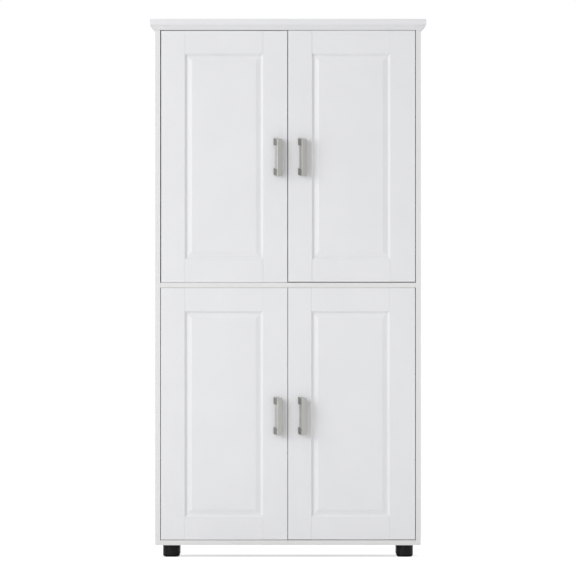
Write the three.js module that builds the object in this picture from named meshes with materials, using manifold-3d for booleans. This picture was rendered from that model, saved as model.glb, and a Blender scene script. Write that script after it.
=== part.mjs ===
// Four-door pantry cabinet: a frameless carcass of boards on four round feet, closed by inset
// frame-and-panel doors on concealed cup hinges.
//
// Millimetres, +Z up. The doors face -Y. The origin is on the floor, under the centre of the
// whole cabinet's box, handles included. Everything fixed to a door is drawn at rest, closed.

import * as THREE from 'three';
import { mergeVertices } from 'three/addons/utils/BufferGeometryUtils.js';
import Module from 'manifold-3d';

const wasm = await Module();
wasm.setup();

// ---------------------------------------------------------------- driving dimensions

const carcass = {
  width: 790, // across the outer faces of the two sides
  depth: 384, // from the sides' front edges to the outer face of the back sheets
  height: 1600,
  board: 15,
  backSheet: 3,
  backReveal: 2, // how far each back sheet stops short of the boards it is nailed to
};

const top = {
  thickness: 18,
  overhang: 16, // at the front and at both sides
  mouldingHeight: 15,
  mouldingReach: 14.5,
  mouldingToe: 2, // how far the moulding's lower edge stands out
  lipHeight: 1,
  railDepth: 60,
};

const foot = {
  radius: 25.5, // of the rim, under the carcass
  waist: 25,
  height: 35,
  rim: 2.5,
  round: 8, // radius of the rounded lower edge
  inset: 48, // from the carcass faces to the foot's centre
};

const door = {
  width: 376,
  height: 746,
  thickness: 16,
  sideGap: 2.5,
  endGap: 2.5, // above and below each door
};

const frame = {
  stileFace: 71.4, // width of the flat face of a stile
  railFace: 67.1,
  slopeWidth: 6.4, // the moulded edge round the panel
  slopeDepth: 6,
  grooveDepth: 6,
  grooveFront: 7.5, // the groove's walls, measured in from the door's front face
  grooveBack: 12.5,
};

const panel = {
  bevelWidth: 15,
  fieldDepth: 2.3, // the raised field lies this far behind the frame's face
  edgeDepth: 6.2, // the bevel's low edge
};

const handle = {
  length: 111,
  screwPitch: 96,
  projection: 27,
  legLength: 20,
  footRight: 5, // the foot's right edge, where the grip's left edge also comes
  footWidth: 11.5,
  sag: 3.6, // how far the grip stands below the feet
  gripWidth: 14,
  gripThickness: 3.5,
  flankWidth: 8, // the grip's sloping flank, on its left
  flankDepth: 12.5,
  screwDepth: 12, // of the threaded hole in each foot
  screwRadius: 1.8,
  screwHole: 2.5, // radius of the clearance hole through the door
  fromEdge: 35, // screw line to the door's free edge
  drop: { upper: 0, lower: 4 }, // below the door's mid-height
};

const hinge = {
  fromEnd: 100, // hinge centre to the end of the door
  cupRadius: 17.5,
  cupCentre: 22.5, // cup axis to the door's hinged edge
  cupDepth: 11.8,
  cupWall: 0.8,
  flangeRadius: 19,
  flangeThickness: 0.8,
  pivot: { x: 18, y: 8 }, // from the hinged edge, and in from the front face
  wingReach: 26, // of the flange's two screw wings, above and below the cup's axis
  wingHalfWidth: 7,
  pinRadius: 1.2,
  pinHalfLength: 16.4, // just into the cup's wall
  boreRadius: 1.7,
  knuckleRadius: 2.6,
  armWidth: 10,
  armThickness: 2,
  armTilt: 26, // degrees that the neck rises out of the cup
  neckLength: 20.6,
  crankY: 29.7, // where the arm crosses over, behind the arc of the door's corner
  runX: 7, // the arm's run along the carcass side, from the hinged edge
  runEndY: 82,
};

// The hinge's mounting plate on the carcass side. Y values are measured from the door's front.
const plate = {
  thickness: 2,
  y: [40, 78],
  halfHeight: 8,
  wingY: [47, 59],
  wingHalfHeight: 25,
  saddleY: [42, 76],
};

const shelf = {
  setback: 40, // front edge behind the carcass front, clear of the hinge arms
  sideClearance: 1,
  backClearance: 2.5,
  perSection: 2,
};

const fit = 0.3; // clearance round a joint that one piece is cut to fit
const runOn = 1; // how far a cutting shape runs on past the surface it cuts

// How many flats each round form is made of.
const flats = { foot: 28, footEdge: 4, cup: 24, screwHole: 12, knuckle: 12, pin: 8 };

// ---------------------------------------------------------------- derived positions

const overallDepth = carcass.depth + handle.projection;
const frontY = -overallDepth / 2 + handle.projection;
const backY = frontY + carcass.depth;
const sheetY = backY - carcass.backSheet;
const outerX = carcass.width / 2;
const innerX = outerX - carcass.board;
const topBoardZ = carcass.height - top.thickness;
const topRailZ = topBoardZ - top.mouldingHeight;
const bottomTopZ = foot.height + carcass.board;
const lowerDoorZ = bottomTopZ + door.endGap + door.height / 2;
const middleZ = lowerDoorZ + door.height / 2 + door.endGap;
const middleTopZ = middleZ + carcass.board;
const upperDoorZ = middleTopZ + door.endGap + door.height / 2;

// ---------------------------------------------------------------- materials

// A finish is a colour, a roughness and a metalness; each sub-part gets a material of its own.
const finishes = {
  whiteLacquer: { color: 0xe6e6e7, roughness: 0.45, metalness: 0 },
  whiteBoard: { color: 0xe2e2e1, roughness: 0.5, metalness: 0 },
  rawHardboard: { color: 0xb09470, roughness: 0.8, metalness: 0 },
  blackPlastic: { color: 0x282928, roughness: 0.5, metalness: 0 },
  satinNickel: { color: 0xa8a9a6, roughness: 0.35, metalness: 0.9 },
  nickelSteel: { color: 0xc4c5c6, roughness: 0.3, metalness: 0.9 },
};

function part(name, geometry, finish) {
  const mesh = new THREE.Mesh(geometry, new THREE.MeshStandardMaterial(finishes[finish]));
  mesh.name = name;
  return mesh;
}

// ---------------------------------------------------------------- geometry helpers

function box(from, to) {
  const size = to.map((value, axis) => value - from[axis]);
  const geometry = new THREE.BoxGeometry(...size);
  return geometry.translate(...from.map((value, axis) => value + size[axis] / 2));
}

// A prism on an outline in the XY plane, running along Z from one height to another.
function prism(outline, fromZ, toZ) {
  const shape = new THREE.Shape(outline.map(([x, y]) => new THREE.Vector2(x, y)));
  const geometry = new THREE.ExtrudeGeometry(shape, { depth: toZ - fromZ, bevelEnabled: false });
  return geometry.translate(0, 0, fromZ);
}

// The same prism turned to run along X: its outline's first value becomes the height.
function prismAlongX(outline, fromX, toX) {
  const swapped = outline.map(([z, y]) => [-z, y]);
  return prism(swapped, fromX, toX).rotateY(Math.PI / 2);
}

function cylinderAlongY(radius, fromY, toY, sides) {
  const geometry = new THREE.CylinderGeometry(radius, radius, toY - fromY, sides);
  return geometry.translate(0, (fromY + toY) / 2, 0);
}

function cylinderAlongZ(radius, halfLength, sides) {
  return new THREE.CylinderGeometry(radius, radius, 2 * halfLength, sides).rotateX(Math.PI / 2);
}

function solid(geometry) {
  const bare = geometry.clone();
  bare.deleteAttribute('normal');
  bare.deleteAttribute('uv');
  const merged = mergeVertices(bare);
  const mesh = new wasm.Mesh({
    numProp: 3,
    vertProperties: merged.attributes.position.array,
    triVerts: new Uint32Array(merged.index.array),
  });
  return new wasm.Manifold(mesh);
}

function geometryOf(manifold) {
  const mesh = manifold.getMesh();
  const geometry = new THREE.BufferGeometry();
  geometry.setAttribute('position', new THREE.BufferAttribute(mesh.vertProperties, 3));
  geometry.setIndex(new THREE.BufferAttribute(mesh.triVerts, 1));
  geometry.computeVertexNormals();
  return geometry;
}

function joined(...geometries) {
  return geometries.map(solid).reduce((whole, next) => whole.add(next));
}

function cut(whole, ...tools) {
  return tools.map(solid).reduce((left, tool) => left.subtract(tool), whole);
}

// The outline of a flat strip of even thickness bent along a line of points.
function stripOutline(points, thickness) {
  const line = points.map(([x, y]) => new THREE.Vector2(x, y));
  const directions = line.slice(1).map((point, i) => point.clone().sub(line[i]).normalize());
  const offsets = line.map((_, i) => {
    const before = directions[Math.max(i - 1, 0)];
    const after = directions[Math.min(i, directions.length - 1)];
    const normalBefore = new THREE.Vector2(-before.y, before.x);
    const normalAfter = new THREE.Vector2(-after.y, after.x);
    const mitre = normalBefore.clone().add(normalAfter).normalize();
    return mitre.multiplyScalar(thickness / 2 / mitre.dot(normalAfter));
  });
  const left = line.map((point, i) => point.clone().add(offsets[i]).toArray());
  const right = line.map((point, i) => point.clone().sub(offsets[i]).toArray());
  return [...right, ...left.reverse()];
}

// ---------------------------------------------------------------- carcass boards

function carcassParts() {
  const sides = [-1, 1].map((side) => {
    const [from, to] = side < 0 ? [-outerX, -innerX] : [innerX, outerX];
    const name = side < 0 ? 'side_left' : 'side_right';
    return part(name, box([from, frontY, foot.height], [to, sheetY, topBoardZ]), 'whiteBoard');
  });
  const across = (name, fromY, toY, fromZ) => {
    const geometry = box([-innerX, fromY, fromZ], [innerX, toY, fromZ + carcass.board]);
    return part(name, geometry, 'whiteBoard');
  };
  const reach = outerX + top.overhang;
  const topBoard = box([-reach, frontY - top.overhang, topBoardZ], [reach, backY, carcass.height]);
  return [
    ...sides,
    across('bottom_panel', frontY, sheetY, foot.height),
    across('middle_panel', frontY, sheetY, middleZ),
    across('top_rail_front', frontY, frontY + top.railDepth, topRailZ),
    across('top_rail_back', sheetY - top.railDepth, sheetY, topRailZ),
    part('top_board', topBoard, 'whiteLacquer'),
  ];
}

function backSheets() {
  const reach = outerX - carcass.backReveal;
  const seamZ = middleZ + carcass.board / 2;
  const spans = {
    back_sheet_lower: [foot.height + carcass.backReveal, seamZ - carcass.backReveal / 2],
    back_sheet_upper: [seamZ + carcass.backReveal / 2, topBoardZ - carcass.backReveal],
  };
  return Object.entries(spans).map(([name, [fromZ, toZ]]) => {
    return part(name, box([-reach, sheetY, fromZ], [reach, backY, toZ]), 'rawHardboard');
  });
}

// Two movable shelves in each section, spaced evenly.
function shelves() {
  const sections = {
    lower: [bottomTopZ, middleZ],
    upper: [middleTopZ, topRailZ],
  };
  const reach = innerX - shelf.sideClearance;
  return Object.entries(sections).flatMap(([section, [floorZ, ceilingZ]]) => {
    const clear = ceilingZ - floorZ - shelf.perSection * carcass.board;
    const pitch = clear / (shelf.perSection + 1) + carcass.board;
    return Array.from({ length: shelf.perSection }, (_, i) => {
      const z = floorZ + (i + 1) * pitch - carcass.board;
      const from = [-reach, frontY + shelf.setback, z];
      const to = [reach, sheetY - shelf.backClearance, z + carcass.board];
      return part(`shelf_${section}_${i + 1}`, box(from, to), 'whiteBoard');
    });
  });
}

// ---------------------------------------------------------------- splayed moulding under the top

// Section of the moulding: reach out from the carcass face, and height.
function mouldingOutline() {
  return [
    [0, topRailZ],
    [top.mouldingToe, topRailZ],
    [top.mouldingReach, topBoardZ - top.lipHeight],
    [top.mouldingReach, topBoardZ],
    [0, topBoardZ],
  ];
}

// A length of moulding along +X with its back on y = 0 and its face towards -Y. A mitred end
// is carried outwards by as much as each point reaches out from the carcass.
function mouldingStrip(length, mitred) {
  const section = mouldingOutline().map(([out, z]) => [z, -out]);
  const geometry = prismAlongX(section, 0, length);
  const position = geometry.attributes.position;
  for (let i = 0; i < position.count; i += 1) {
    const mitre = -position.getY(i) - fit / 2;
    const atEnd = position.getX(i) > length / 2;
    if (atEnd && mitred.end) {
      position.setX(i, length + mitre);
    } else if (!atEnd && mitred.start) {
      position.setX(i, -mitre);
    }
  }
  return geometry;
}

function mouldings() {
  const frontStrip = mouldingStrip(carcass.width, { start: true, end: true });
  const front = part('moulding_front', frontStrip, 'whiteLacquer');
  front.position.set(-outerX, frontY, 0);
  const leftStrip = mouldingStrip(carcass.depth, { start: false, end: true });
  const left = part('moulding_left', leftStrip, 'whiteLacquer');
  left.position.set(-outerX, backY, 0);
  left.rotation.z = -Math.PI / 2;
  const rightStrip = mouldingStrip(carcass.depth, { start: true, end: false });
  const right = part('moulding_right', rightStrip, 'whiteLacquer');
  right.position.set(outerX, frontY, 0);
  right.rotation.z = Math.PI / 2;
  return [front, left, right];
}

// ---------------------------------------------------------------- feet

function footGeometry() {
  const { radius, height, rim, round, waist } = foot;
  const lowerEdge = Array.from({ length: flats.footEdge + 1 }, (_, i) => {
    const turn = (i / flats.footEdge) * (Math.PI / 2);
    return [waist - round + round * Math.sin(turn), round - round * Math.cos(turn)];
  });
  const profile = [
    [0, 0],
    ...lowerEdge,
    [waist, height - rim],
    [radius, height - rim],
    [radius, height],
    [0, height],
  ];
  const points = profile.map(([r, z]) => new THREE.Vector2(r, z));
  return new THREE.LatheGeometry(points, flats.foot).rotateX(Math.PI / 2);
}

function feet() {
  const rows = { front: frontY + foot.inset, back: backY - foot.inset };
  const columns = { left: -outerX + foot.inset, right: outerX - foot.inset };
  return Object.entries(rows).flatMap(([row, y]) => {
    return Object.entries(columns).map(([column, x]) => {
      const mesh = part(`foot_${row}_${column}`, footGeometry(), 'blackPlastic');
      mesh.position.set(x, y, 0);
      return mesh;
    });
  });
}

// ---------------------------------------------------------------- door frame and panel

// A door's own frame: origin at the middle of its front face, +X towards the free edge,
// +Y into the cabinet. Every door piece is alike in its upper and lower half, apart from
// the handle's screw holes, so a half turn about Y makes the right-hand door.

const openingX = door.width / 2 - frame.stileFace - frame.slopeWidth; // inner edge of the stiles
const openingZ = door.height / 2 - frame.railFace - frame.slopeWidth;

// The moulded and grooved inner edge of a frame piece whose outer edge lies on the negative
// side of it.
function innerEdge(inner) {
  const grooveFloor = inner - frame.grooveDepth;
  return [
    [inner - frame.slopeWidth, 0],
    [inner, frame.slopeDepth],
    [inner, frame.grooveFront],
    [grooveFloor, frame.grooveFront],
    [grooveFloor, frame.grooveBack],
    [inner, frame.grooveBack],
    [inner, door.thickness],
  ];
}

function stilePrism() {
  const edge = -door.width / 2;
  const outline = [[edge, door.thickness], [edge, 0], ...innerEdge(-openingX)];
  return prism(outline, -door.height / 2, door.height / 2);
}

function hingeCentres() {
  return [-1, 1].map((end) => end * (door.height / 2 - hinge.fromEnd));
}

// The stile that carries the hinges, with a blind hole for each cup.
function hingeStile() {
  const holes = hingeCentres().map((z) => {
    const depth = door.thickness - hinge.cupDepth - fit;
    const toY = door.thickness + runOn;
    const hole = cylinderAlongY(hinge.cupRadius + fit, depth, toY, flats.cup);
    return hole.translate(-door.width / 2 + hinge.cupCentre, 0, z);
  });
  return geometryOf(cut(solid(stilePrism()), ...holes));
}

// The stile at the free edge, bored through for the handle's two screws.
function handleStile(handleZ) {
  const holes = [-1, 1].map((end) => {
    const toY = door.thickness + runOn;
    const hole = cylinderAlongY(handle.screwHole, -runOn, toY, flats.screwHole);
    const z = handleZ + (end * handle.screwPitch) / 2;
    return hole.translate(door.width / 2 - handle.fromEdge, 0, z);
  });
  const turned = stilePrism().rotateY(Math.PI);
  return geometryOf(cut(solid(turned), ...holes));
}

// A rail's ends are cut to the reverse of the stile's moulded edge, with a stub tenon in
// its groove.
function railEnds() {
  const flat = openingX - fit / 2;
  const tenon = openingX + frame.grooveDepth - fit;
  return [
    [flat + frame.slopeWidth, 0],
    [flat, frame.slopeDepth],
    [flat, frame.grooveFront + fit],
    [tenon, frame.grooveFront + fit],
    [tenon, frame.grooveBack - fit],
    [flat, frame.grooveBack - fit],
    [flat, door.thickness],
  ];
}

function mirroredOutline(half) {
  return [...half, ...half.map(([x, y]) => [-x, y]).reverse()];
}

function rail() {
  const edge = -door.height / 2;
  const section = [[edge, door.thickness], [edge, 0], ...innerEdge(-openingZ)];
  const long = prismAlongX(section, -door.width / 2, door.width / 2);
  const ends = prism(mirroredOutline(railEnds()), edge - runOn, -openingZ + runOn);
  return geometryOf(solid(long).intersect(solid(ends)));
}

// Half the panel's section towards one edge of the opening: field, bevel, then the tongue.
function panelEdge(opening) {
  const shoulder = opening - fit;
  const tongue = opening + frame.grooveDepth - 2 * fit;
  return [
    [opening - panel.bevelWidth, panel.fieldDepth],
    [shoulder, panel.edgeDepth],
    [shoulder, frame.grooveFront + fit],
    [tongue, frame.grooveFront + fit],
    [tongue, frame.grooveBack - fit],
  ];
}

function raisedPanel() {
  const acrossX = prism(mirroredOutline(panelEdge(openingX)), -door.height / 2, door.height / 2);
  const acrossZ = prismAlongX(mirroredOutline(panelEdge(openingZ)), -door.width / 2, door.width / 2);
  return geometryOf(solid(acrossX).intersect(solid(acrossZ)));
}

// ---------------------------------------------------------------- concealed hinge

// A hinge's own frame: origin on the door's front face at its hinged edge, +X towards the
// free edge, +Y into the cabinet. The hinge is alike above and below its centre.

// The cup, its flange and the pin that the arm's knuckle turns on.
function hingeCup() {
  const backFace = door.thickness;
  const cupFront = backFace - hinge.cupDepth;
  const innerRadius = hinge.cupRadius - hinge.cupWall;
  const flangeTop = backFace + hinge.flangeThickness;
  const profile = [
    [0, cupFront],
    [hinge.cupRadius, cupFront],
    [hinge.cupRadius, backFace],
    [hinge.flangeRadius, backFace],
    [hinge.flangeRadius, flangeTop],
    [innerRadius, flangeTop],
    [innerRadius, cupFront + hinge.cupWall],
    [0, cupFront + hinge.cupWall],
  ];
  const points = profile.map(([r, y]) => new THREE.Vector2(r, y));
  const cup = new THREE.LatheGeometry(points, flats.cup).translate(hinge.cupCentre, 0, 0);
  const wings = [-1, 1].map((end) => {
    const zs = [end * (innerRadius + hinge.cupWall / 2), end * hinge.wingReach];
    const from = [hinge.cupCentre - hinge.wingHalfWidth, backFace, Math.min(...zs)];
    const to = [hinge.cupCentre + hinge.wingHalfWidth, flangeTop, Math.max(...zs)];
    return box(from, to);
  });
  const pin = cylinderAlongZ(hinge.pinRadius, hinge.pinHalfLength, flats.pin);
  return geometryOf(joined(cup, ...wings, pin.translate(hinge.pivot.x, hinge.pivot.y, 0)));
}

// The cranked arm and its mounting plate. The neck leaves the cup at a tilt, passes behind
// the arc that the door's corner sweeps, and runs back along the carcass side to the plate.
function hingeArm() {
  const { pivot, neckLength, crankY, runX, runEndY } = hinge;
  const tilt = THREE.MathUtils.degToRad(hinge.armTilt);
  const neckX = pivot.x + neckLength * Math.cos(tilt);
  const neckY = pivot.y + neckLength * Math.sin(tilt);
  const line = [[pivot.x, pivot.y], [neckX, neckY], [neckX, crankY], [runX, crankY], [runX, runEndY]];
  const halfWidth = hinge.armWidth / 2;
  const strip = prism(stripOutline(line, hinge.armThickness), -halfWidth, halfWidth);
  const knuckle = cylinderAlongZ(hinge.knuckleRadius, halfWidth, flats.knuckle);
  const wallX = -door.sideGap;
  const plateX = wallX + plate.thickness;
  const block = (fromX, toX, [fromY, toY], halfHeight) => {
    return box([fromX, fromY, -halfHeight], [toX, toY, halfHeight]);
  };
  const arm = joined(
    strip,
    knuckle.translate(pivot.x, pivot.y, 0),
    block(plateX, runX, plate.saddleY, halfWidth),
    block(wallX, plateX, plate.y, plate.halfHeight),
    block(wallX, plateX, plate.wingY, plate.wingHalfHeight),
  );
  const bore = cylinderAlongZ(hinge.boreRadius, hinge.armWidth, flats.pin);
  return geometryOf(cut(arm, bore.translate(pivot.x, pivot.y, 0)));
}

// ---------------------------------------------------------------- handle

// The handle's own frame: origin on the door's front face midway between its screws, +X to
// the right as seen from the front, -Y out of the cabinet. Its grip stands to the right of
// its two feet and a little lower, so the same handle fits every door the same way round.
function handleGeometry() {
  const { projection, gripWidth, gripThickness, flankWidth, flankDepth } = handle;
  const { length, legLength, screwDepth, screwRadius, screwPitch } = handle;
  const gripLeft = handle.footRight;
  const gripRight = gripLeft + gripWidth;
  const footLeft = handle.footRight - handle.footWidth;
  const gripBack = -projection + gripThickness;
  const grip = [
    [gripLeft, -projection],
    [gripRight, -projection],
    [gripRight, gripBack],
    [gripLeft + gripThickness / 2, gripBack],
    [gripLeft - flankWidth + gripThickness, -projection + flankDepth],
    [gripLeft - flankWidth, -projection + flankDepth],
  ];
  const leg = [
    [gripLeft, -projection],
    [gripRight, -projection],
    [gripRight, gripBack],
    [gripLeft, 0],
    [footLeft, 0],
  ];
  const half = length / 2;
  const bar = prism(grip, -half, half);
  const legs = [prism(leg, -half, legLength - half), prism(leg, half - legLength, half)];
  const slant = new THREE.Matrix4().makeShear(0, 0, 0, handle.sag / projection, 0, 0);
  const holes = [-1, 1].map((end) => {
    const hole = cylinderAlongY(screwRadius, -screwDepth, runOn, flats.pin);
    return hole.translate(0, 0, (end * screwPitch) / 2);
  });
  const whole = [bar, ...legs].map((geometry) => geometry.applyMatrix4(slant));
  return geometryOf(cut(joined(...whole), ...holes));
}

// ---------------------------------------------------------------- doors

function doorParts(row, side) {
  const left = side === 'left';
  const centreZ = row === 'upper' ? upperDoorZ : lowerDoorZ;
  const name = (piece) => `door_${row}_${side}_${piece}`;
  const hand = left ? 1 : -1;

  const leaf = new THREE.Group();
  leaf.position.set(-hand * (innerX - door.sideGap - door.width / 2), frontY, centreZ);
  leaf.rotation.y = left ? 0 : Math.PI;
  const topRail = part(name('rail_top'), rail(), 'whiteLacquer');
  const bottomRail = part(name('rail_bottom'), rail(), 'whiteLacquer');
  const upturned = left ? topRail : bottomRail;
  upturned.rotation.y = Math.PI;
  const handleDrop = handle.drop[row];
  leaf.add(
    part(name('stile_hinge'), hingeStile(), 'whiteLacquer'),
    part(name('stile_handle'), handleStile(-hand * handleDrop), 'whiteLacquer'),
    topRail,
    bottomRail,
    part(name('panel'), raisedPanel(), 'whiteLacquer'),
  );

  const pull = part(`handle_${row}_${side}`, handleGeometry(), 'satinNickel');
  const freeEdge = leaf.position.x + (hand * door.width) / 2;
  pull.position.set(freeEdge - hand * handle.fromEdge, frontY, centreZ - handleDrop);

  const hinges = hingeCentres().map((z, i) => {
    const height = i === 0 ? 'low' : 'high';
    const set = new THREE.Group();
    set.position.set(-hand * (innerX - door.sideGap), frontY, centreZ + z);
    set.rotation.y = leaf.rotation.y;
    set.add(
      part(`hinge_${row}_${side}_${height}_cup`, hingeCup(), 'nickelSteel'),
      part(`hinge_${row}_${side}_${height}_arm`, hingeArm(), 'nickelSteel'),
    );
    return set;
  });
  return [leaf, pull, ...hinges];
}

// ---------------------------------------------------------------- assembly

const cabinet = new THREE.Group();
cabinet.name = 'pantry_cabinet';
cabinet.add(...carcassParts(), ...backSheets(), ...shelves(), ...mouldings(), ...feet());
for (const row of ['lower', 'upper']) {
  for (const side of ['left', 'right']) {
    cabinet.add(...doorParts(row, side));
  }
}

export default cabinet;
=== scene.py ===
"""Looks of the four-door pantry cabinet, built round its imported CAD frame.

Shapes are worked out in millimetres in the CAD's frame: +Z up, the doors face -Y, +X to the
right as seen from the front. Each mesh is scaled to metres as it is made, and its object
stands at the origin.
"""

import math
from types import SimpleNamespace as Values

import bmesh
import bpy
from mathutils import Matrix, Vector


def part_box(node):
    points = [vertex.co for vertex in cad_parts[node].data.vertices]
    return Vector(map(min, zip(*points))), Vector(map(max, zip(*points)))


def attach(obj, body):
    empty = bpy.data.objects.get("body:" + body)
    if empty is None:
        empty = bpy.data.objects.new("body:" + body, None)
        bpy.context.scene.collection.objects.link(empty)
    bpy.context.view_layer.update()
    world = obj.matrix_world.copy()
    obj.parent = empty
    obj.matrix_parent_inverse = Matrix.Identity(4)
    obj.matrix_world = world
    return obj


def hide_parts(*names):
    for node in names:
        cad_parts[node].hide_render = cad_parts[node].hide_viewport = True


MM = 0.001
ROUNDED_ANGLE = math.radians(40)  # edges that turn less than this stay unrounded
TOUCH = 0.01  # points closer than this, in mm, count as one place

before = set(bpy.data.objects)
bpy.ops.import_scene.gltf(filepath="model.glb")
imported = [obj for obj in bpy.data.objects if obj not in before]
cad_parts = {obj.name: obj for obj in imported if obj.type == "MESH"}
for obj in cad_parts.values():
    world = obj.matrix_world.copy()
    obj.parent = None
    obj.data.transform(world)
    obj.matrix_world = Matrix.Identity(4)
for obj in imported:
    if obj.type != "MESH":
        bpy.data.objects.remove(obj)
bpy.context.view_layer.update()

# ---------------------------------------------------------------- driving values, in mm

door = Values(
    thickness=16,
    half_opening_x=110.2,  # the panel opening, from its middle
    half_opening_z=299.5,
    slope_width=6.4,  # the splayed edge round the opening
    slope_depth=6,
    outer_round=1.0,
    joint_round=0.3,
    hinge_joint=0.4,  # the open line between a rail's end and the stile
)

# Clear gap between each door and its neighbours. Every door hangs a little differently.
# free is the gap from the free edge to the cabinet's centre line, free_joint the open line
# between the rails and the stile on that side, and shift how far its panel sits to the left.
gaps = {
    ("upper", "left"): Values(hinge=2.8, free=1.8, top=1.8, bottom=0.7, free_joint=0.9, shift=1),
    ("upper", "right"): Values(hinge=1.8, free=0.3, top=1.0, bottom=2.3, free_joint=0.8, shift=2),
    ("lower", "left"): Values(hinge=1.8, free=1.4, top=0.6, bottom=1.3, free_joint=0.5, shift=1.5),
    ("lower", "right"): Values(hinge=1.8, free=0.2, top=0.6, bottom=1.8, free_joint=0.5, shift=4),
}

panel = Values(
    bevel_width=15,
    field_depth=2.3,  # the raised field, behind the frame's face
    edge_depth=6.2,
    hollow=0.3,  # how much the bevel is hollowed halfway
    back_depth=12.2,
    tongue=5,
    tongue_step=0.4,  # how far the tongue's face lies behind the bevel's edge
)

moulding = Values(
    reach=14.5,
    toe=2,
    lip=1,
    edge_round=0.4,  # under half the lip, so its two rounded edges stay apart
    hairline=0.08,  # the open line at the front mitres
)

foot = Values(
    waist=25,
    rim_radius=25.5,
    rim_height=2.5,
    edge_round=8,
    edge_steps=10,
    groove=0.5,
    recess_radius=13,  # the shallow recess in the underside
    recess_depth=1.2,
    socket_radius=6,  # the hole in the middle of the recess
    socket_depth=5,
)

handle = Values(
    screw_pitch=96,
    half_length=55.5,
    leg_length=19,
    leg_end=54,  # the legs stop just short of the grip's ends
    leg_side=13,  # how far the leg's straight left side stands out
    leg_crown=2.6,  # where the leg's sloping front meets the grip
    foot_left=-6.5,
    foot_right=5,
    grip_right=19,
    projection=27,
    grip_thickness=3.5,
    flank_left=-3,
    flank_depth=12.5,
    sag=3.6,  # how far the grip stands below its feet
    from_centre=36.5,  # screw line to the cabinet's centre line
    bore_radius=2.5,
    screw_radius=4.2,
    screw_height=2.2,
)

# x runs from the door's hinged edge and y from the doors' faces.
hinge = Values(
    hinged_edge=377.5,  # from the cabinet's centre line
    from_door_centre=273,
    cup_x=22.5,
    cup_radius=17.5,
    cup_front=4.2,
    cup_wall=0.8,
    flange_radius=19,
    flange_top=16.8,
    wing_reach=26,
    wing_half_width=7,
    cup_screw_z=21.3,
    pivot_x=18,
    pivot_y=8,
    pin_radius=1.2,
    pin_half_length=16.4,
    knuckle_radius=2.6,
    knuckle_bore=1.7,
    arm_half_width=5,
    arm_thickness=2,
    neck_end=(36.52, 17.03),
    crank_y=29.7,
    run_x=7,
    run_end_y=82,
    wall_x=-2.5,  # the carcass side
    plate_x=-0.5,  # the face of the plate screwed to it
    plate_y=(40, 78),
    plate_half_height=8,
    ear_y=(47, 59),  # the plate's two ears, which take its screws
    ear_half_height=25,
    ear_screw_z=18,
    seat_y=(42, 76),  # the block between the plate and the arm
    arm_screw_y=(50, 68),
)

pin_holes = Values(
    radius=2.5,
    depth=9,
    front_y=-113.5,
    back_y=152.5,
    per_shelf_pitch=8,  # holes between two shelves
    beyond=3,  # holes below the lower shelf and above the upper one
)

nails = Values(inset=5, across=6, up=6)  # from a back sheet's edges, and nail pitches along them

cover = Values(radius=9.6, from_side=34)

# Measured down from the underside that the catch is fixed to.
catch = Values(
    half_width=23,
    height=12,
    depth=14,
    behind_door=1.3,
    magnet_x=12,  # the middle of each magnet, from the cabinet's centre line
    pole_half_width=7,
    pole_half_height=0.8,
    pole_length=6,
    pole_drops=(9.5, 5),
    plate_half_width=8,
    plate_top=4,
    plate_bottom=16,
    plate_thickness=1,
    screw_drop=14.2,
)


# ---------------------------------------------------------------- places read from the frame


def node_box(node):
    """Lowest and highest corner of a CAD node, in mm."""
    low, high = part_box(node)
    return low / MM, high / MM


ROWS = ("lower", "upper")
SIDES = ("left", "right")
HINGE_ENDS = {"low": -1, "high": 1}
front_y = node_box("side_left")[0].y
back_y = node_box("top_board")[1].y
outer_x = node_box("side_right")[1].x
inner_x = node_box("side_right")[0].x
moulding_low_z = node_box("moulding_front")[0].z
moulding_top_z = node_box("moulding_front")[1].z
door_floor_z = {"lower": node_box("bottom_panel")[1].z, "upper": node_box("middle_panel")[1].z}
door_ceiling_z = {"lower": node_box("middle_panel")[0].z, "upper": moulding_low_z}


def hand(side):
    """+1 where the free edge lies towards +X, as on a left-hand door."""
    return 1 if side == "left" else -1


def door_centre(row, side):
    """The middle of the door's CAD outline, on its face."""
    low, high = node_box(f"door_{row}_{side}_stile_hinge")
    far_low, far_high = node_box(f"door_{row}_{side}_stile_handle")
    x = (min(low.x, far_low.x) + max(high.x, far_high.x)) / 2
    return Vector((x, front_y, (low.z + high.z) / 2))


# ---------------------------------------------------------------- mesh helpers


def add_loft(bm, rings, closed=False):
    """Faces between successive rings of points, with a cap at each end or closed on itself."""
    loops = [[bm.verts.new(point) for point in ring] for ring in rings]
    pairs = list(zip(loops, loops[1:]))
    if closed:
        pairs.append((loops[-1], loops[0]))
    for near, far in pairs:
        for i, corner in enumerate(near):
            j = (i + 1) % len(near)
            bm.faces.new((corner, near[j], far[j], far[i]))
    if not closed:
        bm.faces.new(list(reversed(loops[0])))
        bm.faces.new(loops[-1])


def circle(axis, centre, radius, along, count):
    """A ring of points round an axis through centre, at a distance along it."""
    points = []
    for i in range(count):
        turn = 2 * math.pi * i / count
        a, b = radius * math.cos(turn), radius * math.sin(turn)
        offset = {"X": (along, a, b), "Y": (a, along, b), "Z": (a, b, along)}[axis]
        points.append(Vector(centre) + Vector(offset))
    return points


def add_turned(bm, axis, centre, profile, count=32, closed=False):
    """A turned shape from (radius, distance along the axis) points."""
    rings = [circle(axis, centre, radius, along, count) for radius, along in profile]
    add_loft(bm, rings, closed)


def add_box(bm, low, high):
    """A box from its lowest corner to its highest."""
    outline = [(low[0], low[1]), (high[0], low[1]), (high[0], high[1]), (low[0], high[1])]
    add_loft(bm, [[(x, y, z) for x, y in outline] for z in (low[2], high[2])])


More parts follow.
